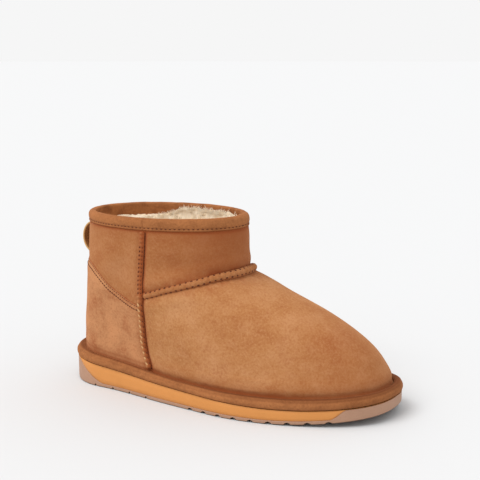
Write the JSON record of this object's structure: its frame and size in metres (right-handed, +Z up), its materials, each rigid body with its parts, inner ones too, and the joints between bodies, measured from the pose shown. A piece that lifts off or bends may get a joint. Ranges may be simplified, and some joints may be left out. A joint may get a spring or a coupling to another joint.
{
  "type": "sheepskin boot",
  "caption": "Ankle-high pull-on sheepskin boot for the right foot: suede upper lined with fleece, bound collar, heel counter, pull loop and flat two-part sole.",
  "frame": {"origin": "middle of the boot's footprint on the floor", "axes": "+X towards the toe, +Y towards the inner ankle, +Z up"},
  "size_m": [0.2744, 0.1112, 0.1431],
  "materials": {
    "rubber_tread": "matt moulded rubber, dusty mauve",
    "foam_sole": "smooth matt foam, amber",
    "trim_suede": "short-nap suede, chestnut brown",
    "upper_suede": "brushed suede with a soft nap, light chestnut",
    "counter_suede": "brushed suede with a soft nap, a shade rosier than the upper",
    "fleece": "curly cream wool pile"
  },
  "bodies": {
    "root": {"outsole": "rubber_tread", "midsole": "foam_sole", "foxing": "trim_suede", "insole": "fleece", "upper": "upper_suede", "heel_counter": "counter_suede", "collar_binding": "trim_suede", "pull_loop": "trim_suede"}
  },
  "joints": []
}
